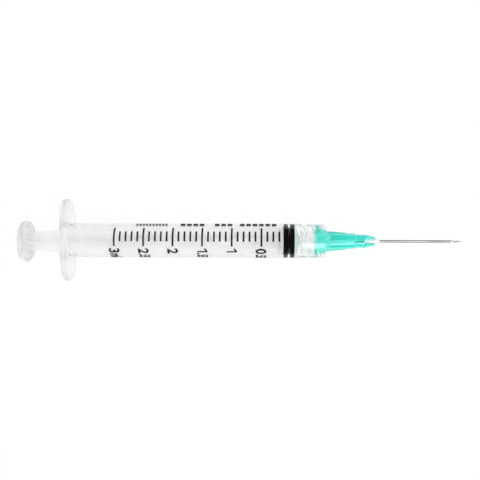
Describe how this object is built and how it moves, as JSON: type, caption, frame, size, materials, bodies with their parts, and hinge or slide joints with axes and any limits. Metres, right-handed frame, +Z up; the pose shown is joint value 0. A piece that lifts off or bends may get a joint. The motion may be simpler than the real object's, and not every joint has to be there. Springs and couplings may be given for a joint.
{
  "type": "syringe with needle",
  "caption": "Small translucent syringe with a lock-collar nozzle, pushed-in plunger with a black stopper, and a bevelled steel needle in a turquoise hub.",
  "frame": {"origin": "on the syringe's axis, at the front face of the finger flange, where the barrel starts", "axes": "+X along the syringe towards the needle's point, +Y along the length of the finger flange, +Z up"},
  "size_m": [0.1294, 0.0242, 0.012],
  "materials": {
    "barrel_plastic": "clear-milky polypropylene, smooth",
    "plunger_plastic": "translucent white polypropylene, satin",
    "stopper_rubber": "black rubber, slightly glossy",
    "hub_plastic": "translucent turquoise-green polypropylene, glossy",
    "needle_steel": "polished stainless steel tube",
    "needle_adhesive": "clear cured adhesive"
  },
  "bodies": {
    "barrel": {"barrel": "barrel_plastic"},
    "plunger": {"plunger_rod": "plunger_plastic", "stopper": "stopper_rubber"},
    "needle": {"needle_hub": "hub_plastic", "cannula": "needle_steel", "needle_glue": "needle_adhesive"}
  },
  "joints": [
    {"name": "plunger_slide", "type": "slide", "parent": "barrel", "child": "plunger", "axis": [-1, 0, 0], "range_m": [0, 0.058]},
    {"name": "needle_twist", "type": "hinge", "parent": "barrel", "child": "needle", "pos_m": [0.08, 0, 0], "axis": [1, 0, 0], "range_deg": [0, 45]}
  ]
}
